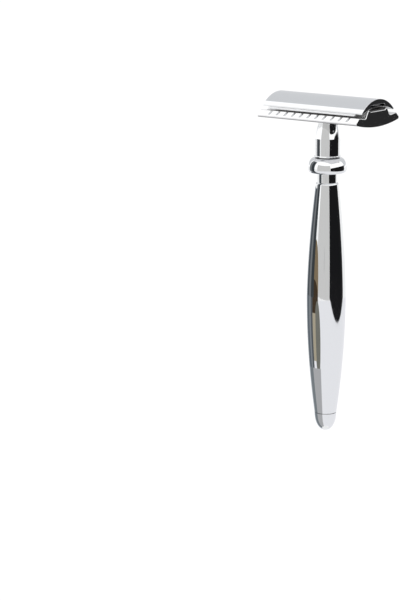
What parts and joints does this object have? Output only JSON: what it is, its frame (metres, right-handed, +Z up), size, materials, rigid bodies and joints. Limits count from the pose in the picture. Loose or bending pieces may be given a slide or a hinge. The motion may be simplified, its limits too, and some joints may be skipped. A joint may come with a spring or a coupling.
{
  "type": "safety razor",
  "caption": "Double-edge safety razor: a screw-apart head with scalloped safety bars clamps a bent blade on a long, swelled metal handle.",
  "frame": {"origin": "on the handle's axis, in the plane of the collar's underside, where a stand's hook carries the razor", "axes": "+Z up along the handle towards the head, +X along the blade, +Y and -Y towards the two safety bars"},
  "size_m": [0.043, 0.0258, 0.1232],
  "materials": {
    "chrome_plate": "polished chrome plating, mirror bright",
    "blade_steel": "fine rolled stainless strip with ground and honed edges",
    "rod_steel": "plain turned steel with a rolled thread",
    "washer_plastic": "thin dark nylon"
  },
  "bodies": {
    "handle": {"neck": "chrome_plate", "neck_washer": "washer_plastic", "collar": "chrome_plate", "grip": "chrome_plate", "tie_rod": "rod_steel", "end_washer": "washer_plastic", "end_cap": "chrome_plate"},
    "base_plate": {"base_plate": "chrome_plate"},
    "blade": {"blade": "blade_steel"},
    "cap": {"top_cap": "chrome_plate", "cap_stud": "chrome_plate", "locating_pin_left": "chrome_plate", "locating_pin_right": "chrome_plate"}
  },
  "joints": [
    {"name": "head_turn", "type": "hinge", "parent": "handle", "child": "base_plate", "pos_m": [0, 0, 0.0185], "axis": [0, 0, 1], "range_deg": [0, 2160]},
    {"name": "cap_lift", "type": "slide", "parent": "base_plate", "child": "cap", "axis": [0, 0, 1], "range_m": [0, 0.0048]},
    {"name": "blade_lift", "type": "slide", "parent": "base_plate", "child": "blade", "axis": [0, 0, 1], "range_m": [0, 0.0024]}
  ],
  "couplings": [
    {"joint": "cap_lift", "follows": "head_turn", "m_per_rad": 0.00012732},
    {"joint": "blade_lift", "follows": "head_turn", "m_per_rad": 0.000063661}
  ]
}
